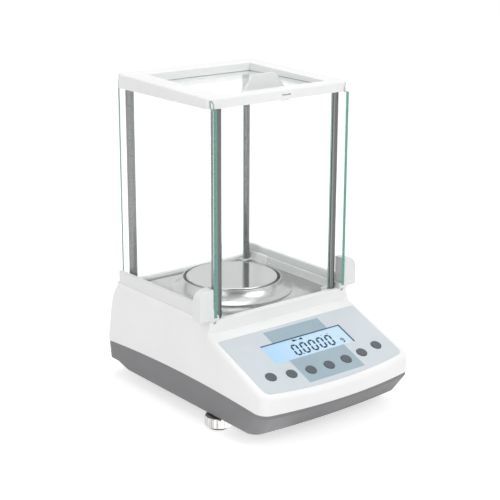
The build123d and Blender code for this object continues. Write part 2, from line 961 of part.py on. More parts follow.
def side_rail(side):
    """Moulded rail under a side door, with its finger plate and the tongue that runs in the track."""
    y0 = side_glass_front
    y1 = side_glass_back
    z0 = deck_height + rail_gap
    slot = pane_thickness / 2 + pane_clear
    inner = side_glass_x - slot - rail_lip
    outer = side_glass_x + slot
    rail = block(inner, chamber_half, y0, y1, z0, z0 + rail_lip_height)
    rail += block(outer, chamber_half, y0, y1, z0, z0 + rail_height)
    rail -= block(side_glass_x - slot, outer, y0 - 1, y1 + 1, z0 + rail_floor, tall)
    tongue = tongue_width / 2
    rail += block(
        side_glass_x - tongue, side_glass_x + tongue, y0 + tongue_lead, y1, z0 - tongue_depth, z0 + 1
    )
    rail = fillet(rail.edges().filter_by(Axis.Y).sort_by(Axis.Z)[-2:], rail_rounding)
    z1 = z0 + grip_lift
    grip = block(outer, chamber_half + grip_width, y0, y0 + grip_depth, z1, z1 + grip_height)
    corner = grip.edges().filter_by(Axis.Y).group_by(Axis.Z)[-1].sort_by(Axis.X)[-1]
    grip = fillet(corner, grip_radius)
    face = grip.faces().sort_by(Axis.Y)
    grip = fillet(face[0].edges() + face[-1].edges(), grip_rounding)
    rail += grip
    return rail if side > 0 else mirror(rail, Plane.YZ)


def top_glass():
    half = opening_half + top_glass_bite
    y0 = frame_front + opening_front - top_glass_bite
    y1 = frame_back - opening_back + top_glass_bite
    pane = block(-half, half, y0, y1, glass_z, glass_z + top_glass_thickness)
    return chamfer(pane.edges(), top_glass_edge)


def top_tab():
    z = glass_z + top_glass_thickness
    y = frame_front + tab_y
    depth = tab_thickness / 2
    points = [
        (-tab_base_half, z),
        (tab_base_half, z),
        (tab_top_half, z + tab_height),
        (-tab_top_half, z + tab_height),
    ]
    tab = front_profile(points, y - depth, y + depth)
    tab = fillet(tab.edges().filter_by(Axis.Y).sort_by(Axis.Z)[-2:], tab_rounding)
    depth = tab_foot_depth / 2
    foot = block(-tab_base_half, tab_base_half, y - depth, y + depth, z, z + tab_foot_height)
    return tab + fillet(foot.edges().filter_by(Axis.Z), tab_foot_corner)


def wind_ring():
    """Ring whose skirt sweeps outwards from a rounded rim to the floor."""
    z0 = floor_top
    z1 = floor_top + ring_height
    rim = ring_rim_radius
    foot = ring_base_radius
    t = ring_thickness
    bend = rim + ring_flare * ring_bend
    knee = z0 + ring_height * ring_bend
    edges = [
        Line((foot, z0), (foot, z0 + t)),
        ThreePointArc((foot, z0 + t), (bend, knee), (rim, z1 - t / 2)),
        ThreePointArc((rim, z1 - t / 2), (rim - t / 2, z1), (rim - t, z1 - t / 2)),
        ThreePointArc((rim - t, z1 - t / 2), (bend - t, knee - t), (foot - 2 * t, z0)),
        Line((foot - 2 * t, z0), (foot, z0)),
    ]
    return turned(edges, pan_y)


def weighing_pan():
    z = pan_top
    t = pan_thickness
    r = pan_radius
    c = pan_rounding
    turn = c * math.sin(math.pi / 4)
    bore = spindle_radius + spindle_fit
    hub_low = floor_top + hub_clear
    edges = [
        Line((0, z), (r - c, z)),
        ThreePointArc((r - c, z), (r - c + turn, z - c + turn), (r, z - c)),
        Line((r, z - c), (r, z - pan_edge)),
        Line((r, z - pan_edge), (r - t, z - pan_edge)),
        Line((r - t, z - pan_edge), (r - t, z - c)),
        Line((r - t, z - c), (r - c, z - t)),
        Line((r - c, z - t), (hub_radius, z - t)),
        Line((hub_radius, z - t), (hub_radius, hub_low)),
        Line((hub_radius, hub_low), (bore, hub_low)),
        Line((bore, hub_low), (bore, spindle_top)),
        Line((bore, spindle_top), (0, spindle_top)),
        Line((0, spindle_top), (0, z)),
    ]
    return turned(edges, pan_y)


# Control panel

def panel_overlay():
    sheet = extrude(overlay_face(0.0), overlay_thickness, dir=(0, 0, 1))
    sheet = Pos(0, 0, -overlay_recess) * sheet
    sheet -= block(-window_half, window_half, -window_bottom, -window_top, -wall, wall)
    for u, v in key_places():
        sheet -= rod(u, v, -wall, wall, key_radius + key_gap)
    return panel * sheet


def display_bezel():
    """Black frame that lines the display window."""
    w = bezel_wall
    rim = block(
        -window_half - w, window_half + w, -window_bottom - w, -window_top + w,
        -display_sunk, -overlay_recess,
    )
    rim -= block(-window_half, window_half, -window_bottom, -window_top, -wall, wall)
    return panel * rim


def display_glass():
    w = bezel_wall + bezel_gap
    return panel_block(
        -window_half - w, window_half + w, -window_bottom - w, -window_top + w,
        -display_sunk - display_thickness, -display_sunk,
    )


def display_board():
    """Board behind the display, with the light box that fills the space up to it."""
    edge = window_half + pillar_offset + pillar_radius
    light = block(
        -window_half, window_half, -window_bottom, -window_top,
        -board_depth, -display_sunk - display_thickness,
    )
    board = block(
        -edge, edge, -window_bottom - board_margin, -window_top + board_margin,
        -board_depth - board_thickness, -board_depth,
    )
    return panel * (light + board)


def keypad_board():
    edge = keypad_half + pillar_radius
    low = -key_row - keypad_drop - pillar_radius - keypad_margin
    return panel_block(
        -edge, edge, low, -window_bottom - board_margin - keypad_gap,
        -board_depth - board_thickness, -board_depth,
    )


def key_switches():
    switches = Part()
    half = switch_side / 2
    top = -board_depth + switch_height
    for u, v in key_places():
        switches += block(u - half, u + half, v - half, v + half, -board_depth, top)
        switches += rod(u, v, top, top + plunger_height, plunger_radius)
    return panel * switches


def key(u, v):
    """Round key: a cap through the panel, a flange under it and a stem above the switch."""
    top = overlay_thickness - overlay_recess + key_proud
    under = -wall - key_gap
    low = -board_depth + switch_height + plunger_height + key_play
    cap = rod(u, v, under, top, key_radius)
    cap = fillet(cap.edges().sort_by(Axis.Z)[-1], key_rounding)
    cap += rod(u, v, under - key_flange_thickness, under, key_radius + key_flange)
    cap += rod(u, v, low, under, key_stem_radius)
    return panel * cap


def board_screws():
    screws = Part()
    low = -board_depth - board_thickness
    for u, v in board_pillars():
        screws += rod(u, v, low - board_screw_height, low, board_screw_radius)
    return panel * screws


# Feet

def foot_wheel(side):
    """Levelling wheel with a lobed rim, on its threaded stud."""
    x = side * foot_x
    wheel = rod(x, foot_y, wheel_low, wheel_top, wheel_radius)
    wheel = chamfer(wheel.edges().filter_by(GeomType.CIRCLE), wheel_edge)
    ring = wheel_radius + scallop_radius - scallop_depth
    for i in range(wheel_lobes):
        a = 2 * math.pi * i / wheel_lobes
        wheel -= rod(
            x + ring * math.cos(a), foot_y + ring * math.sin(a), wheel_low - 1, wheel_top + 1,
            scallop_radius,
        )
    wheel += rod(x, foot_y, wheel_low, wheel_top + stud_length, stud_radius)
    wheel -= rod(x, foot_y, wheel_low - 1, wheel_low + pad_pin_length + pad_gap, pad_pin_radius + pad_pin_fit)
    return wheel


def foot_pad(side):
    x = side * foot_x
    top = wheel_low - pad_gap
    pad = rod(x, foot_y, 0, top, pad_radius)
    pad = chamfer(pad.edges().sort_by(Axis.Z)[0], pad_edge)
    return pad + rod(x, foot_y, top / 2, wheel_low + pad_pin_length, pad_pin_radius)


def rear_foot(side):
    x = side * rear_foot_x
    foot = rod(x, rear_foot_y, 0, tray_bottom, rear_foot_radius)
    foot = chamfer(foot.edges().sort_by(Axis.Z)[0], rear_foot_edge)
    return foot + rod(x, rear_foot_y, tray_bottom / 2, tray_bottom + rear_foot_bite, rear_foot_pin)


# Weighing cell

def cell_pillars():
    for y in (pan_y - cell_front + cell_screw_inset, pan_y + cell_back - cell_screw_inset):
        for x in (-cell_half + cell_screw_inset, cell_half - cell_screw_inset):
            yield x, y


def cell_base():
    """Cast base with the column of the guides and the cheeks of the lever's pivot."""
    y0 = pan_y - cell_front
    y1 = pan_y + cell_back
    base = block(-cell_half, cell_half, y0, y1, cell_base_top - cell_base_thickness, cell_base_top)
    base = fillet(base.edges().filter_by(Axis.Z), cell_base_corner)
    c0 = pan_y + column_front
    c1 = c0 + column_depth
    base += block(-column_half, column_half, c0, c1, cell_base_top, column_top)
    window = lever_half + lever_window_side
    base -= block(
        -window, window, c0 - 1, c1 + 1,
        lever_bottom - lever_window, lever_bottom + lever_height + lever_window,
    )
    inner = lever_half + cheek_gap
    for side in (-1, 1):
        base += side_block(
            side, inner, inner + cheek_width, pivot_y - cheek_half, c0 + 1,
            pivot_z - cheek_height, pivot_z + cheek_height,
        )
    base -= cross_rod(pivot_y, pivot_z, pivot_radius + pivot_fit, 2 * column_half)
    # pad under the lower guide, and the way for a hook below the pan
    base += block(-column_half, column_half, c0 - guide_pad, c1, cell_base_top, guide_low)
    return base - rod(0, pan_y, 0, cell_base_top + 1, 2 * spindle_radius)


def guide(z, root):
    """A parallel guide: a sheet that narrows towards the hanger, open in its middle."""
    c0 = pan_y + column_front - guide_pad
    a = column_half - guide_narrow
    b = guide_front_half
    points = [
        (-a, root),
        (-a, c0),
        (-b, hanger_back),
        (-b, hanger_front),
        (b, hanger_front),
        (b, hanger_back),
        (a, c0),
        (a, root),
    ]
    sheet = extrude(make_face(Polyline(*points, close=True)), guide_thickness)
    sheet -= block(
        -b + guide_margin, b - guide_margin, hanger_back + guide_narrow, c0 - guide_narrow,
        0, guide_thickness,
    )
    return Pos(0, 0, z) * sheet - rod(0, pan_y, 0, tall, spindle_radius + guide_hole)


def upper_guide():
    return guide(column_top, pan_y + column_front + column_depth)


def lower_guide():
    return guide(guide_low, pan_y + column_front)


def hanger():
    """Carrier that hangs between the guides, with the tongue that drives the lever."""
    z0 = guide_low + guide_thickness + guide_gap
    z1 = column_top - guide_gap
    clear = lever_bottom - z0
    frame = block(-hanger_half, hanger_half, hanger_front, hanger_back, z0, z1)
    frame -= block(
        -hanger_half + hanger_wall, hanger_half - hanger_wall, hanger_front - 1, hanger_back + 1,
        z0 + hanger_low_share * clear, lever_bottom - hanger_high_share * clear,
    )
    tongue_top = lever_bottom - coupling_gap
    frame += block(
        -lever_half, lever_half, hanger_back - 1, hanger_back + tongue_reach,
        tongue_top - drive_tongue, tongue_top,
    )
    return frame


def pan_spindle():
    return rod(0, pan_y, column_top - guide_gap, spindle_top, spindle_radius)


def weighing_lever():
    y0 = hanger_back + coupling_gap
    beam = block(-lever_half, lever_half, y0, coil_y, lever_bottom, lever_bottom + lever_height)
    beam += rod(0, coil_y, lever_bottom, lever_bottom + coil_plate, coil_radius)
    beam += block(
        -tail_half, tail_half, coil_y, pan_y + cell_back - tail_gap,
        lever_bottom + tail_inset, lever_bottom + lever_height - tail_inset,
    )
    pin = 2 * (lever_half + cheek_gap + cheek_thickness)
    return beam + cross_rod(pivot_y, pivot_z, pivot_radius, pin)


def force_coil():
    coil = rod(0, coil_y, lever_bottom - coil_height, lever_bottom, coil_radius)
    return coil - rod(0, coil_y, 0, tall, coil_radius - coil_wall)


def magnet_pot():
    pot = rod(0, coil_y, cell_base_top, pot_top, pot_radius)
    groove = rod(0, coil_y, pot_top - pot_groove, pot_top + 1, coil_radius + coil_gap)
    groove -= rod(0, coil_y, 0, tall, coil_radius - coil_wall - coil_gap)
    return pot - groove


def position_sensor():
    """Small board with an emitter and a receiver, one on each side of the lever's tail."""
    y = pan_y + cell_back - sensor_inset
    half = sensor_height / 2
    board = block(
        -sensor_board_half, sensor_board_half, y, y + board_thickness, cell_base_top, pivot_z + sensor_height
    )
    inner = tail_half + sensor_gap
    for side in (-1, 1):
        board += side_block(
            side, inner, inner + sensor_block, y - sensor_depth, y, pivot_z - half, pivot_z + half
        )
    return board


def cell_screws():
    screws = Part()
    top = cell_base_top + cell_screw_height
    for x, y in cell_pillars():
        screw = rod(x, y, cell_base_top, top, cell_screw_radius)
        screws += screw - rod(x, y, top - socket_depth, top, socket_radius)
    return screws


# Main board and sockets

def main_pillars():
    for y in (front_y + main_front + main_inset, step_y - main_back - main_inset):
        for x in (-main_half + main_inset, main_half - main_inset):
            yield x, y


def main_board():
    """Board with its chips, capacitors and the screened converter."""
    z = main_height + board_thickness
    y0 = front_y + main_front
    y1 = step_y - main_back
    board = block(-main_half, main_half, y0, y1, main_height, z)
    for across, along, w, d, h in chip_sizes:
        x = across * main_half
        y = y0 + along * (y1 - y0)
        board += block(x - w / 2, x + w / 2, y - d / 2, y + d / 2, z, z + h)
    for i in range(capacitor_count):
        x = -main_half + 1.5 * capacitor_pitch + i * capacitor_pitch
        board += rod(x, y1 - capacitor_inset, z, z + capacitor_height, capacitor_radius)
    return board


def main_screws():
    screws = Part()
    z = main_height + board_thickness
    for x, y in main_pillars():
        screws += rod(x, y, z, z + main_screw_height, main_screw_radius)
    return screws


def data_port_body(grow):
    """The part of the nine-way socket that passes through the wall."""
    half = data_shell_half + grow
    high = data_shell_height / 2 + grow
    return block(
        data_x - half, data_x + half, port_face - socket_length, port_face + data_flange_thickness,
        port_height - high, port_height + high,
    )


def data_port():
    """Nine-way socket: flange in the recess, shell and contact holes."""
    y = port_face
    high = data_flange_height / 2
    flange = block(
        data_x - data_flange_half, data_x + data_flange_half, y, y + data_flange_thickness,
        port_height - high, port_height + high,
    )
    flange = fillet(flange.edges().filter_by(Axis.Y), data_flange_corner)
    half = data_shell_half - data_tube_inset
    high = data_shell_height / 2 - data_tube_inset
    tube = block(
        data_x - half, data_x + half, y, y + data_tube_length, port_height - high, port_height + high
    )
    port = flange + data_port_body(0.0) + fillet(tube.edges().filter_by(Axis.Y), data_tube_corner)
    for count, lift in ((5, data_pin_row), (4, -data_pin_row)):
        for i in range(count):
            x = data_x + (i - (count - 1) / 2) * data_pin_pitch
            port -= back_rod(x, y - data_pin_depth, y + data_pin_depth, port_height + lift, data_pin_radius)
    return port


def power_body(grow):
    return back_rod(power_x, port_face - socket_length, port_face, port_height, power_radius + grow)


def power_inlet():
    """Round low-voltage socket with its centre pin."""
    y = port_face
    collar = back_rod(power_x, y, y + power_collar_length, port_height, power_radius + power_collar)
    bore = back_rod(power_x, y - power_bore_depth, y + power_bore_depth, port_height, power_bore)
    pin = back_rod(power_x, y - power_bore_depth, y, port_height, power_pin)
    return power_body(0.0) + collar - bore + pin


def nodes():
    yield "upper_housing", upper_housing()
    yield "lower_tray", lower_tray()
    yield "housing_screws", housing_screws()
    yield "hook_cover", hook_cover()
    yield "floor_plate", floor_plate()
    names = ("front_left", "front_right", "rear_left", "rear_right")
    for name, place in zip(names, post_places()):
        yield f"post_{name}", post(*place)
    yield "post_screws", post_screws()
    yield "top_frame", top_frame()
    yield "front_pane", fixed_pane(post_front)
    yield "rear_pane", fixed_pane(post_back)
    yield "pane_clip", pane_clip()
    for name, side in (("left", -1), ("right", 1)):
        yield f"{name}_door_glass", side_glass(side)
        yield f"{name}_door_rail", side_rail(side)
        yield f"{name}_foot_wheel", foot_wheel(side)
        yield f"{name}_foot_pad", foot_pad(side)
        yield f"rear_foot_{name}", rear_foot(side)
    yield "top_door_glass", top_glass()
    yield "top_door_tab", top_tab()
    yield "wind_ring", wind_ring()
    yield "weighing_pan", weighing_pan()
    yield "panel_overlay", panel_overlay()
    yield "display_bezel", display_bezel()
    yield "display_glass", display_glass()
    yield "display_board", display_board()
    yield "keypad_board", keypad_board()
    yield "key_switches", key_switches()
    for i, (u, v) in enumerate(key_places()):
        yield f"key_{i + 1}", key(u, v)
    yield "board_screws", board_screws()
    yield "cell_base", cell_base()
    yield "cell_screws", cell_screws()
    yield "upper_guide", upper_guide()
    yield "lower_guide", lower_guide()
    yield "hanger", hanger()
    yield "pan_spindle", pan_spindle()
    yield "weighing_lever", weighing_lever()
    yield "force_coil", force_coil()
    yield "magnet_pot", magnet_pot()
    yield "position_sensor", position_sensor()
    yield "main_board", main_board()
    yield "main_screws", main_screws()
    yield "data_port", data_port()
    yield "power_inlet", power_inlet()


os.makedirs("parts", exist_ok=True)
for node, solid in nodes():
    export_step(solid, f"parts/{node}.step")
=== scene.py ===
import bpy
import bmesh
import json
import math
from mathutils import Vector, Matrix


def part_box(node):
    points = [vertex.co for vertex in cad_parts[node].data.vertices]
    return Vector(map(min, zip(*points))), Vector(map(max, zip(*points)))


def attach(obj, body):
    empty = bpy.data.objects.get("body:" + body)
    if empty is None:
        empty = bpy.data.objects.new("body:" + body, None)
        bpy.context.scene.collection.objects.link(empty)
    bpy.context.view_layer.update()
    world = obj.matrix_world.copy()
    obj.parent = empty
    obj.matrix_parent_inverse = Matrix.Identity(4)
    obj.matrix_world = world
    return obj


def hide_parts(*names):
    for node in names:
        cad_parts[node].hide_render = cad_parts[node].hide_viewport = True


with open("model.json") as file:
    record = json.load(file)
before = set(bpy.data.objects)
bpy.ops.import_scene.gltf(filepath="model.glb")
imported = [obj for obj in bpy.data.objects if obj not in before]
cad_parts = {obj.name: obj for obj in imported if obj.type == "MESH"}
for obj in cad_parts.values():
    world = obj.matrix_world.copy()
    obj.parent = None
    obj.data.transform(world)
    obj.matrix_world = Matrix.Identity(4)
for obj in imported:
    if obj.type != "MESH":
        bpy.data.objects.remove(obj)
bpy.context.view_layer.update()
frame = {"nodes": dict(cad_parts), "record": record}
NODES = frame["nodes"]
MM = 0.001
scene = bpy.context.scene
scene.view_settings.view_transform = "Standard"

# Camera
CAMERA_AT = Vector((-0.8457, -1.0442, 0.5671))
CAMERA_TO = Vector((0.0056, 0.0173, 0.1570))
CAMERA_ROLL = math.radians(0.23)
CAMERA_LENS = 93.25
SENSOR_WIDTH = 36.0
NEAREST, FARTHEST = 0.05, 50.0
CAMERA_SIDE = Vector((CAMERA_AT.x, CAMERA_AT.y, 0)).normalized()    # level, from the object


def facing(at, to):
    """The matrix of a camera or lamp that stands at one point and looks at another."""
    turn = (Vector(to) - Vector(at)).to_track_quat("-Z", "Y").to_matrix().to_4x4()
    return Matrix.Translation(Vector(at)) @ turn


def add_camera():
    data = bpy.data.cameras.new("camera")
    data.lens = CAMERA_LENS
    data.sensor_width = SENSOR_WIDTH
    data.clip_start = NEAREST
    data.clip_end = FARTHEST
    camera = bpy.data.objects.new("camera", data)
    scene.collection.objects.link(camera)
    camera.matrix_world = facing(CAMERA_AT, CAMERA_TO) @ Matrix.Rotation(CAMERA_ROLL, 4, "Z")
    scene.camera = camera


add_camera()

# World
STUDIO_LIGHT = 0.62           # how strongly the studio lights the object
LOW_TONE = 0.75               # tone of the studio towards the floor
LOW_AT, HIGH_AT = 0.42, 0.75  # where that tone ends and white begins, from nadir 0 to zenith 1
ROOM_TONE = 0.12              # tone of the room behind the camera, as metal mirrors it
ROOM_FROM, ROOM_TO = 0.30, 0.80


def add_world():
    """A white backdrop, a studio that is dimmer low down, and a dark room for metal to mirror."""
    world = bpy.data.worlds.new("studio")
    scene.world = world
    world.use_nodes = True
    tree = world.node_tree
    tree.nodes.clear()
    new, link = tree.nodes.new, tree.links.new
    path = new("ShaderNodeLightPath")
    direction = new("ShaderNodeTexCoord").outputs["Generated"]

    height = new("ShaderNodeSeparateXYZ")
    link(direction, height.inputs[0])
    share = new("ShaderNodeMapRange")
    share.inputs["From Min"].default_value = -1
    share.inputs["From Max"].default_value = 1
    link(height.outputs["Z"], share.inputs["Value"])
    ramp = new("ShaderNodeValToRGB")
    low, high = ramp.color_ramp.elements
    low.position, high.position = LOW_AT, HIGH_AT
    low.color = (LOW_TONE, LOW_TONE, LOW_TONE, 1)
    high.color = (1, 1, 1, 1)
    link(share.outputs["Result"], ramp.inputs["Fac"])
    studio = new("ShaderNodeBackground")
    studio.inputs["Strength"].default_value = STUDIO_LIGHT
    link(ramp.outputs["Color"], studio.inputs["Color"])

    side = new("ShaderNodeVectorMath")
    side.operation = "DOT_PRODUCT"
    side.inputs[1].default_value = CAMERA_SIDE
    link(direction, side.inputs[0])
    room = new("ShaderNodeMapRange")
    room.inputs["From Min"].default_value = ROOM_FROM
    room.inputs["From Max"].default_value = ROOM_TO
    room.inputs["To Min"].default_value = 1.0
    room.inputs["To Max"].default_value = ROOM_TONE
    link(side.outputs["Value"], room.inputs["Value"])
    tone = new("ShaderNodeMix")
    tone.data_type = "FLOAT"
    tone.inputs[2].default_value = 1.0
    link(path.outputs["Is Glossy Ray"], tone.inputs[0])
    link(room.outputs["Result"], tone.inputs[3])
    backdrop = new("ShaderNodeBackground")
    link(tone.outputs[0], backdrop.inputs["Color"])

    shown = path.outputs["Is Camera Ray"]
    for kind in ("Is Transmission Ray", "Is Glossy Ray"):
        either = new("ShaderNodeMath")
        either.operation = "MAXIMUM"
        link(shown, either.inputs[0])
        link(path.outputs[kind], either.inputs[1])
        shown = either.outputs[0]
    mix = new("ShaderNodeMixShader")
    link(shown, mix.inputs[0])
    link(studio.outputs[0], mix.inputs[1])
    link(backdrop.outputs[0], mix.inputs[2])
    link(mix.outputs[0], new("ShaderNodeOutputWorld").inputs["Surface"])


add_world()


# Lamps
def lamp(name, at, to, size, power):
    """A rectangular lamp: size in metres, power in watts."""
    data = bpy.data.lights.new(name, "AREA")
    data.shape = "RECTANGLE"
    data.size, data.size_y = size
    data.energy = power
    ob = bpy.data.objects.new(name, data)
    scene.collection.objects.link(ob)
    ob.matrix_world = facing(at, to)
    ob.visible_camera = False


lamp("key", at=(0.5, -1.6, 1.5), to=(0, 0, 0.12), size=(1.4, 1.0), power=14.0)
lamp("fill", at=(-1.7, -0.5, 1.1), to=(0, 0, 0.12), size=(1.2, 1.2), power=7.5)
lamp("over", at=(0.1, 0.4, 1.9), to=(0, 0, 0.1), size=(1.2, 1.2), power=9.0)


# Materials
class Mat:
    """A material under construction: its nodes, its links and its main shader."""

    def __init__(self, name):
        self.mat = bpy.data.materials.new(name)
        self.mat.use_nodes = True
        self.n, self.l = self.mat.node_tree.nodes, self.mat.node_tree.links
        self.n.clear()
        self.out = self.n.new("ShaderNodeOutputMaterial")
        self.bsdf = self.n.new("ShaderNodeBsdfPrincipled")
        self.l.new(self.bsdf.outputs[0], self.out.inputs["Surface"])
        self.coord = self.n.new("ShaderNodeTexCoord").outputs["Object"]

    def put(self, value, socket):
        """Give a socket a number, a colour or a link."""
        if isinstance(value, (int, float)):
            socket.default_value = value
        elif isinstance(value, tuple):
            socket.default_value = (*value, 1)
        else:
            self.l.new(value, socket)

    def mapping(self, scale=(1, 1, 1), location=(0, 0, 0)):
        m = self.n.new("ShaderNodeMapping")
        m.inputs["Scale"].default_value = scale
        m.inputs["Location"].default_value = location
        self.l.new(self.coord, m.inputs["Vector"])
        return m.outputs[0]

    def noise(self, scale, detail=3.0, vector=None, rough=0.55):
        """Noise with so many waves in a metre."""
        t = self.n.new("ShaderNodeTexNoise")
        t.inputs["Scale"].default_value = scale
        t.inputs["Detail"].default_value = detail
        t.inputs["Roughness"].default_value = rough
        self.l.new(vector or self.coord, t.inputs["Vector"])
        return t.outputs["Fac"]

    def math(self, operation, a, b=None):
        m = self.n.new("ShaderNodeMath")
        m.operation = operation
        self.put(a, m.inputs[0])
        if b is not None:
            self.put(b, m.inputs[1])
        return m.outputs[0]

    def span(self, value, low, high, a=0.25, b=0.75):
        """Stretch a value that runs from a to b so that it runs from low to high."""
        m = self.n.new("ShaderNodeMapRange")
        m.inputs["From Min"].default_value = a
        m.inputs["From Max"].default_value = b
        m.inputs["To Min"].default_value = low
        m.inputs["To Max"].default_value = high
        self.l.new(value, m.inputs["Value"])
        return m.outputs["Result"]

    def blend(self, share, a, b):
        """Mix two colours."""
        m = self.n.new("ShaderNodeMix")
        m.data_type = "RGBA"
        self.put(share, m.inputs[0])
        self.put(a, m.inputs[6])
        self.put(b, m.inputs[7])
        return m.outputs[2]

    def dot(self, vector, axis):
        d = self.n.new("ShaderNodeVectorMath")
        d.operation = "DOT_PRODUCT"
        self.l.new(vector, d.inputs[0])
        d.inputs[1].default_value = axis
        return d.outputs["Value"]

    def bump(self, height, distance, strength):
        b = self.n.new("ShaderNodeBump")
        b.inputs["Strength"].default_value = strength
        b.inputs["Distance"].default_value = distance
        self.l.new(height, b.inputs["Height"])
        self.l.new(b.outputs[0], self.bsdf.inputs["Normal"])

    def set(self, **values):
        for name, value in values.items():
            self.put(value, self.bsdf.inputs[name.replace("_", " ")])


def srgb(r, g, b):
    """A colour of a screen, from 0 to 255, as linear light."""
    def linear(c):
        c /= 255
        return c / 12.92 if c <= 0.04045 else ((c + 0.055) / 1.055) ** 2.4
    return (linear(r), linear(g), linear(b))


def shade(colour, k):
    return tuple(min(1.0, c * k) for c in colour)


def plastic(name, colour, rough=0.42, grain=900.0, depth=0.00004, vary=0.03):
    """A moulding with a fine grain and slow changes of colour and gloss."""
    m = Mat(name)
    cloud = m.noise(14.0)
    fine = m.noise(grain, 2)
    m.set(
        Base_Color=m.blend(m.span(cloud, 0, 1), shade(colour, 1 - vary), shade(colour, 1 + vary * 0.6)),
        Roughness=m.span(m.noise(60.0, 4), rough - 0.05, rough + 0.06),
    )
    m.bump(fine, depth, 0.35)
    return m.mat


def metal(name, colour, rough, stretch=None, line_scale=900.0, depth=0.00001, spread=0.05, vary=0.06):
    """stretch is the scale of the brush lines along X, Y and Z; None leaves the surface polished."""
    m = Mat(name)
    if stretch:
        lines = m.noise(line_scale, vector=m.mapping(stretch), rough=0.7)
    else:
        lines = m.noise(line_scale)
    stain = m.noise(22.0)
    m.set(
        Metallic=1.0,
        Base_Color=m.blend(m.span(lines, 0, 1), shade(colour, 1 - vary), shade(colour, 1 + vary)),
        Roughness=m.math("ADD", m.span(lines, rough - spread, rough + spread), m.span(stain, -0.02, 0.03)),
    )
    m.bump(lines, depth, 0.3)
    return m.mat


def turned_metal(name, colour, rough, centre_y, spread=0.04):
    """Metal with the circular brush lines that turning leaves, about an upright axis."""
    m = Mat(name)
    place = m.n.new("ShaderNodeSeparateXYZ")
    m.l.new(m.mapping(location=(0, -centre_y, 0)), place.inputs[0])
    x, y, z = place.outputs
    radius = m.math("SQRT", m.math("ADD", m.math("MULTIPLY", x, x), m.math("MULTIPLY", y, y)))
    around = m.n.new("ShaderNodeCombineXYZ")
    m.l.new(radius, around.inputs[0])
    m.l.new(z, around.inputs[1])
    lines = m.noise(2600.0, 2, around.outputs[0], 0.7)
    stain = m.noise(18.0)
    m.set(
        Metallic=1.0,
        Base_Color=m.blend(m.span(lines, 0, 1), shade(colour, 0.93), shade(colour, 1.05)),
        Roughness=m.math("ADD", m.span(lines, rough - spread, rough + spread), m.span(stain, -0.015, 0.03)),
    )
    m.bump(lines, 0.000006, 0.25)
    return m.mat


def glass_face(name):
    """Clear float glass that lets lamplight through, with faint smears."""
    tint = (0.985, 0.995, 0.992)
    m = Mat(name)
    m.set(
        Base_Color=tint,
        Transmission_Weight=1.0,
        IOR=1.45,
        Roughness=m.span(m.noise(9.0, 4), 0.0, 0.02, 0.4, 0.8),
    )
    clear = m.n.new("ShaderNodeBsdfTransparent")
    clear.inputs["Color"].default_value = (*tint, 1)
    path = m.n.new("ShaderNodeLightPath")
    mixed = m.n.new("ShaderNodeMixShader")
    m.l.new(m.math("MAXIMUM", path.outputs["Is Shadow Ray"], path.outputs["Is Diffuse Ray"]), mixed.inputs[0])
    m.l.new(m.bsdf.outputs[0], mixed.inputs[1])
    m.l.new(clear.outputs[0], mixed.inputs[2])
    m.l.new(mixed.outputs[0], m.out.inputs["Surface"])
    return m.mat


def glass_edge(name):
    """Ground edge of a pane, green from the depth of glass behind it."""
    m = Mat(name)
    streak = m.noise(40.0, 4, m.mapping((1, 1, 0.12)), 0.6)
    m.set(
        Base_Color=m.blend(m.span(streak, 0, 1), srgb(78, 156, 138), srgb(118, 184, 168)),
        Roughness=m.span(m.noise(500.0, 2), 0.22, 0.4),
        Transmission_Weight=0.15,
        IOR=1.45,
    )
    m.bump(m.noise(1400.0, 2), 0.00003, 0.3)
    return m.mat


# The panel's own frame: across, up the slope, out of the panel
PANEL_RISE = 0.4              # rise of the panel over its level run
PANEL_AT = Vector((0, -0.0426, 0.0985))
PANEL_U = Vector((1, 0, 0))
PANEL_V = Vector((0, 1, PANEL_RISE)).normalized()
PANEL_W = PANEL_U.cross(PANEL_V)


def on_panel(u, v, w):
    """A point of the panel, from millimetres across, up the slope and out."""
    return PANEL_AT + (PANEL_U * u + PANEL_V * v + PANEL_W * w) * MM


def panel_coords(m):
    """Panel coordinates in millimetres, from a material's object coordinates."""
    shift = m.n.new("ShaderNodeVectorMath")
    shift.operation = "SUBTRACT"
    m.l.new(m.coord, shift.inputs[0])
    shift.inputs[1].default_value = PANEL_AT
    return [m.dot(shift.outputs[0], axis / MM) for axis in (PANEL_U, PANEL_V)]


def inside(m, value, low, high, soft=0.25):
    """1 where a coordinate lies between two values, with a soft edge."""
    above = m.span(value, 0, 1, low - soft, low + soft)
    below = m.span(value, 1, 0, high - soft, high + soft)
    return m.math("MULTIPLY", above, below)


# Darker zones of the overlay, over and under the display, in millimetres on the panel
ZONE_HALF = 38.0
UPPER_ZONE = (-40.0, -17.2)
LOWER_ZONE = (-100.0, -60.0)


def overlay_film(name):
    m = Mat(name)
    u, v = panel_coords(m)
    across = inside(m, u, -ZONE_HALF, ZONE_HALF)
    zone = m.math("MULTIPLY", across, m.math("MAXIMUM", inside(m, v, *UPPER_ZONE), inside(m, v, *LOWER_ZONE)))
    cloud = m.span(m.noise(20.0), 0, 1)
    pale = m.blend(cloud, srgb(201, 209, 214), srgb(208, 215, 220))
    dark = m.blend(cloud, srgb(150, 171, 182), srgb(159, 179, 190))
    m.set(
        Base_Color=m.blend(zone, pale, dark),
        Roughness=m.span(m.noise(90.0, 4), 0.34, 0.46),
        Coat_Weight=0.15,
        Coat_Roughness=0.25,
    )
    m.bump(m.noise(1100.0, 2), 0.00002, 0.3)
    return m.mat


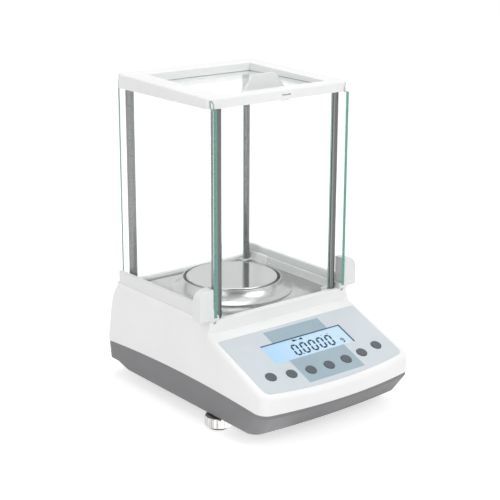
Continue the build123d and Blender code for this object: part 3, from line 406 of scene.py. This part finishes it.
def display_face(name):
    """Backlit liquid crystal: bluer at the left, paler and mottled towards the right."""
    m = Mat(name)
    u, _ = panel_coords(m)
    across = m.span(u, 0, 1, -50, 10)
    mottle = m.math("MULTIPLY", m.span(m.noise(160.0, 4), 0, 1), m.span(across, 0.1, 0.7, 0, 1))
    base = m.blend(across, srgb(174, 214, 246), srgb(190, 222, 244))
    m.set(
        Base_Color=(0.03, 0.04, 0.05),
        Emission_Color=m.blend(mottle, base, srgb(206, 230, 243)),
        Emission_Strength=0.96,
        Roughness=m.span(m.noise(40.0), 0.22, 0.34),
    )
    m.bump(m.noise(600.0, 2), 0.00001, 0.2)
    return m.mat


def display_ink(name):
    m = Mat(name)
    m.set(
        Base_Color=m.blend(m.span(m.noise(300.0), 0, 1), srgb(12, 24, 60), srgb(26, 42, 84)),
        Roughness=m.span(m.noise(200.0, 2), 0.4, 0.55),
    )
    m.bump(m.noise(900.0, 2), 0.00001, 0.2)
    return m.mat


PAN_LOW, PAN_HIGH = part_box("weighing_pan")
PAN_Y = (PAN_LOW[1] + PAN_HIGH[1]) / 2
BRUSHED_ALONG_X = (0.03, 1, 1)
BRUSHED_ALONG_Y = (1, 0.05, 1)
BRUSHED_ALONG_Z = (1, 1, 0.02)
WOUND = (1, 1, 20)

ALL = [
    plastic("white_shell", srgb(240, 240, 240), rough=0.44),
    plastic("white_frame", srgb(236, 236, 236)),
    plastic("rail_plastic", srgb(230, 230, 230), rough=0.38),
    plastic("clip_plastic", srgb(236, 236, 236), rough=0.4),
    plastic("grey_shell", srgb(122, 122, 124), rough=0.5, grain=700.0, depth=0.00006, vary=0.04),
    plastic("dark_cover", srgb(70, 72, 74), rough=0.5),
    plastic("black_bezel", srgb(18, 26, 50), rough=0.45),
    plastic("black_socket", srgb(28, 28, 30), rough=0.4),
    plastic("switch_body", srgb(34, 34, 36), rough=0.5),
    plastic("key_plastic", srgb(82, 90, 98), rough=0.34, grain=700.0, depth=0.00002, vary=0.05),
    plastic("black_rubber", srgb(38, 38, 38), rough=0.75, grain=500.0, depth=0.00008),
    plastic("circuit_board", srgb(24, 92, 48), rough=0.35, grain=600.0, depth=0.00003, vary=0.08),
    metal("polished_post", (0.15, 0.15, 0.152), 0.15, BRUSHED_ALONG_Z, 500.0, 0.0000006, 0.015, 0.03),
    metal("stainless_floor", (0.47, 0.47, 0.468), 0.12, BRUSHED_ALONG_X, 1500.0, 0.000002, 0.02),
    metal("knurled_chrome", (0.62, 0.61, 0.60), 0.2),
    metal("zinc_screw", (0.55, 0.55, 0.54), 0.3),
    metal("cast_alloy", (0.60, 0.61, 0.62), 0.45, line_scale=300.0, depth=0.00006, spread=0.08),
    metal("machined_alloy", (0.70, 0.71, 0.72), 0.28, BRUSHED_ALONG_Y),
    metal("spring_sheet", (0.6, 0.59, 0.57), 0.25, BRUSHED_ALONG_Y),
    metal("ground_steel", (0.62, 0.62, 0.62), 0.2),
    metal("coil_wire", (0.70, 0.34, 0.16), 0.35, WOUND, 400.0),
    metal("pot_steel", (0.5, 0.5, 0.5), 0.3),
    metal("port_metal", (0.66, 0.66, 0.66), 0.24),
    turned_metal("stainless_pan", (0.50, 0.50, 0.498), 0.08, PAN_Y, spread=0.02),
    turned_metal("stainless_ring", (0.52, 0.52, 0.518), 0.24, PAN_Y),
    glass_face("pane_glass"),
    glass_edge("pane_edge"),
    overlay_film("overlay_film"),
    display_face("display_face"),
    display_ink("display_ink"),
]
M = {mat.name.split(".")[0]: mat for mat in ALL}    # Blender adds .001 where the frame has the name

for part in frame["record"]["subparts"]:
    ob = NODES[part["node"]]
    mat = M[part["material_slot"]]
    if not ob.material_slots:
        ob.data.materials.append(mat)
    for slot in ob.material_slots:
        slot.material = mat


# Pieces
def piece(name, bm, mats, body):
    mesh = bpy.data.meshes.new(name)
    bm.normal_update()
    bm.to_mesh(mesh)
    bm.free()
    for mat in mats:
        mesh.materials.append(mat)
    ob = bpy.data.objects.new(name, mesh)
    scene.collection.objects.link(ob)
    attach(ob, body)
    return ob


# Panes of glass
FRAME_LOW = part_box("top_frame")[0]
NOTCH_DEPTH = 0.0019          # cut-out of the side panes behind the frame's front
NOTCH_GAP = 0.0003
ACROSS, DEEP, UPRIGHT = 0, 1, 2


def side_pane_outline(low, high):
    """Outline in Y and Z of a side pane, cut out at its front top corner."""
    y = FRAME_LOW[1] + NOTCH_DEPTH
    z = FRAME_LOW[2] - NOTCH_GAP
    return [(low[1], low[2]), (high[1], low[2]), (high[1], high[2]), (y, high[2]), (y, z), (low[1], z)]


def notched_plate(bm, low, high):
    base = bm.faces.new([bm.verts.new((low[0], y, z)) for y, z in side_pane_outline(low, high)])
    for item in bmesh.ops.extrude_face_region(bm, geom=[base])["geom"]:
        if isinstance(item, bmesh.types.BMVert):
            item.co.x = high[0]
    bmesh.ops.recalc_face_normals(bm, faces=bm.faces[:])


def plain_plate(bm, low, high):
    bmesh.ops.create_cube(bm, size=1.0)
    for vert in bm.verts:
        vert.co = Vector([low[i] + (high[i] - low[i]) * (vert.co[i] + 0.5) for i in range(3)])


def pane(name, node, body, thin, bevel=0.0005):
    """A pane with bevelled ground edges, clear at its foot; thin is the axis through its thickness."""
    low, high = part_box(node)
    bm = bmesh.new()
    if thin == ACROSS:
        notched_plate(bm, low, high)
    else:
        plain_plate(bm, low, high)
    bmesh.ops.bevel(bm, geom=bm.edges[:], offset=bevel, segments=2, affect="EDGES", profile=0.6)
    bm.normal_update()
    for face in bm.faces:
        is_clear = abs(face.normal[thin]) > 0.95 or face.normal.z < -0.5
        face.material_index = 0 if is_clear else 1
    ob = piece(name, bm, [M["pane_glass"], M["pane_edge"]], body)
    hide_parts(node)


pane("left_door_pane", "left_door_glass", "left_door", ACROSS)
pane("right_door_pane", "right_door_glass", "right_door", ACROSS)
pane("top_door_pane", "top_door_glass", "top_door", UPRIGHT, bevel=0.0004)
pane("front_fixed_pane", "front_pane", "base", DEEP)
pane("rear_fixed_pane", "rear_pane", "base", DEEP)

# Figures of the display: dark shapes just over its face, in millimetres on the panel
FACE = max((v.co - PANEL_AT).dot(PANEL_W) for v in NODES["display_glass"].data.vertices) / MM
INK = 0.06                    # thickness of a dark shape
ZERO = "abcdef"               # lit segments of a nought
GRAM = "abcdfg"               # lit segments of the grams mark
DIGITS = 5
DIGIT_AT = (-20.9, -58.3)     # foot of the first digit
DIGIT_PITCH = 11.65
POINT = [(-13.6, -59.3), (-12.2, -59.3), (-12.0, -57.8), (-13.4, -57.8)]
GRAM_AT = (42.3, -58.8)
ZERO_MARK = [
    [(-12.2, -35.4), (-5.0, -37.8), (-12.2, -39.0)],
    [(1.2, -35.4), (1.2, -39.0), (-4.8, -38.0)],
]
DASHES = ((24.4, 26.6), (33.0, 35.2))
DASH_TOP, DASH_FOOT = -40.6, -41.2
DASH_INK = 0.05


def dark_shape(bm, points, ink=INK):
    """A flat, closed dark shape, from points across and up the panel."""
    low = [bm.verts.new(on_panel(u, v, FACE)) for u, v in points]
    top = [bm.verts.new(on_panel(u, v, FACE + ink)) for u, v in points]
    faces = [bm.faces.new(top), bm.faces.new(low[::-1])]
    for i in range(len(points)):
        j = (i + 1) % len(points)
        faces.append(bm.faces.new((low[i], low[j], top[j], top[i])))
    bmesh.ops.recalc_face_normals(bm, faces=faces)


def segment(a, b, width, slant, at):
    """A six-sided display segment between two points of the digit's grid."""
    length = math.dist(a, b)
    along = ((b[0] - a[0]) / length, (b[1] - a[1]) / length)
    half = width / 2
    gap = width * 0.12
    bends = (
        (gap, 0), (half + gap, half), (length - half - gap, half),
        (length - gap, 0), (length - half - gap, -half), (half + gap, -half),
    )
    points = []
    for run, off in bends:
        x = a[0] + along[0] * run - along[1] * off
        y = a[1] + along[1] * run + along[0] * off
        points.append((at[0] + x + y * slant, at[1] + y))
    return points


def digit(bm, at, width, height, stroke, lit, slant):
    middle = height / 2
    grid = {
        "a": ((0, height), (width, height)),
        "b": ((width, middle), (width, height)),
        "c": ((width, 0), (width, middle)),
        "d": ((0, 0), (width, 0)),
        "e": ((0, 0), (0, middle)),
        "f": ((0, middle), (0, height)),
        "g": ((0, middle), (width, middle)),
    }
    for name in lit:
        dark_shape(bm, segment(*grid[name], stroke, slant, at))


def display_digits():
    bm = bmesh.new()
    for i in range(DIGITS):
        at = (DIGIT_AT[0] + DIGIT_PITCH * i, DIGIT_AT[1])
        digit(bm, at, width=6.4, height=14.6, stroke=2.3, lit=ZERO, slant=0.095)
    dark_shape(bm, POINT)
    digit(bm, GRAM_AT, width=3.2, height=5.6, stroke=1.3, lit=GRAM, slant=0.05)
    for wedge in ZERO_MARK:
        dark_shape(bm, wedge)
    for left, right in DASHES:
        corners = [(left, DASH_FOOT), (right, DASH_FOOT), (right, DASH_TOP), (left, DASH_TOP)]
        dark_shape(bm, corners, DASH_INK)
    ob = piece("display_digits", bm, [M["display_ink"]], "base")


display_digits()

# Floor
FLOOR_RADIUS = 6.0
FLOOR_SIDES = 96
FLOOR_GLOW = 0.62             # keeps the floor white, so that only a soft shadow shows
STRIP_GLOW = 1.0              # more glow on the camera's side, which the posts mirror as a light line
STRIP_FROM, STRIP_TO = 0.93, 0.98


def floor_paper(name):
    m = Mat(name)
    path = m.n.new("ShaderNodeLightPath")
    seen = m.math("MAXIMUM", path.outputs["Is Camera Ray"], path.outputs["Is Transmission Ray"])
    seen = m.math("MAXIMUM", seen, path.outputs["Is Glossy Ray"])
    paper = m.blend(m.span(m.noise(3.0), 0, 1), (0.92, 0.92, 0.92), (0.95, 0.95, 0.95))
    m.set(
        Base_Color=m.blend(seen, paper, (0.60, 0.60, 0.60)),
        Roughness=m.span(m.noise(8.0, 2), 0.7, 0.85),
        Specular_IOR_Level=0.1,
    )
    bearing = m.n.new("ShaderNodeVectorMath")
    bearing.operation = "NORMALIZE"
    m.l.new(m.coord, bearing.inputs[0])
    strip = m.span(m.dot(bearing.outputs[0], CAMERA_SIDE), 0, STRIP_GLOW, STRIP_FROM, STRIP_TO)
    strip = m.math("MULTIPLY", strip, path.outputs["Is Glossy Ray"])
    glow = m.n.new("ShaderNodeEmission")
    m.l.new(m.math("ADD", strip, FLOOR_GLOW), glow.inputs["Strength"])
    lit = m.n.new("ShaderNodeAddShader")
    m.l.new(m.bsdf.outputs[0], lit.inputs[0])
    m.l.new(glow.outputs[0], lit.inputs[1])
    mixed = m.n.new("ShaderNodeMixShader")
    m.l.new(seen, mixed.inputs[0])
    m.l.new(m.bsdf.outputs[0], mixed.inputs[1])
    m.l.new(lit.outputs[0], mixed.inputs[2])
    m.l.new(mixed.outputs[0], m.out.inputs["Surface"])
    return m.mat


def add_floor():
    bm = bmesh.new()
    bmesh.ops.create_circle(bm, cap_ends=True, radius=FLOOR_RADIUS, segments=FLOOR_SIDES)
    mesh = bpy.data.meshes.new("floor")
    bm.to_mesh(mesh)
    bm.free()
    mesh.materials.append(floor_paper("studio_floor"))
    floor = bpy.data.objects.new("floor", mesh)
    scene.collection.objects.link(floor)


add_floor()
